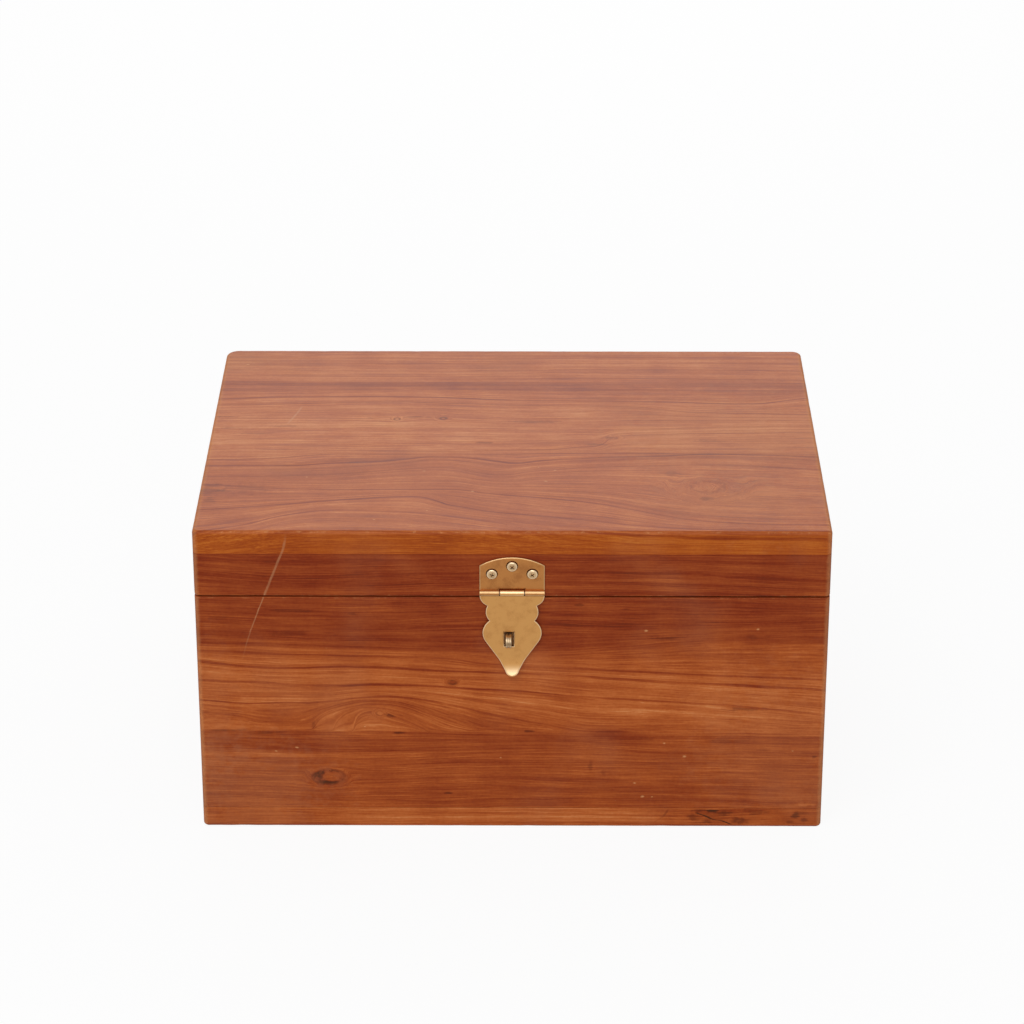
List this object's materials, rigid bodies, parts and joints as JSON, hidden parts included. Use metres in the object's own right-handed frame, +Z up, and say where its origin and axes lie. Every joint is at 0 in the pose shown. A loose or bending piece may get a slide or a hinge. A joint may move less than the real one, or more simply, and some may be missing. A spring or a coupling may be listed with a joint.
{
  "type": "jewellery box",
  "caption": "Rectangular teak jewellery box with a hinged overlay lid, rebated corners and a scalloped brass hasp that drops over a staple for a small padlock.",
  "frame": {"origin": "middle of the underside, where the box stands on a surface", "axes": "+Z up, -Y towards the front with the hasp, +X to the right seen from the front"},
  "size_m": [0.33, 0.2531, 0.1744],
  "materials": {
    "teak": "oiled and varnished reddish-brown teak, satin, worn pale along the edges",
    "brass": "satin lacquered sheet brass",
    "plated_steel": "brass-plated steel screws and pins, pale and bright"
  },
  "bodies": {
    "base": {"base_bottom_panel": "teak", "base_front_board": "teak", "base_back_board": "teak", "base_left_board": "teak", "base_right_board": "teak", "staple_plate": "brass", "staple_loop": "brass", "staple_screw_left": "plated_steel", "staple_screw_right": "plated_steel", "hinge_left_lower_leaf": "brass", "hinge_left_lower_screw_a": "plated_steel", "hinge_left_lower_screw_b": "plated_steel", "hinge_left_pin": "plated_steel", "hinge_right_lower_leaf": "brass", "hinge_right_lower_screw_a": "plated_steel", "hinge_right_lower_screw_b": "plated_steel", "hinge_right_pin": "plated_steel"},
    "lid": {"lid_top_panel": "teak", "lid_front_rail": "teak", "lid_back_rail": "teak", "lid_left_rail": "teak", "lid_right_rail": "teak", "hasp_leaf": "brass", "hasp_screw_left": "plated_steel", "hasp_screw_centre": "plated_steel", "hasp_screw_right": "plated_steel", "hasp_pin": "plated_steel", "hinge_left_upper_leaf": "brass", "hinge_left_upper_screw_a": "plated_steel", "hinge_left_upper_screw_b": "plated_steel", "hinge_right_upper_leaf": "brass", "hinge_right_upper_screw_a": "plated_steel", "hinge_right_upper_screw_b": "plated_steel"},
    "hasp_flap": {"hasp_flap": "brass"}
  },
  "joints": [
    {"name": "lid_hinge", "type": "hinge", "parent": "base", "child": "lid", "pos_m": [0, 0.1195, 0.1371], "axis": [-1, 0, 0], "range_deg": [0, 100]},
    {"name": "hasp_hinge", "type": "hinge", "parent": "lid", "child": "hasp_flap", "pos_m": [0, -0.1241, 0.1401], "axis": [-1, 0, 0], "range_deg": [0, 170]}
  ]
}
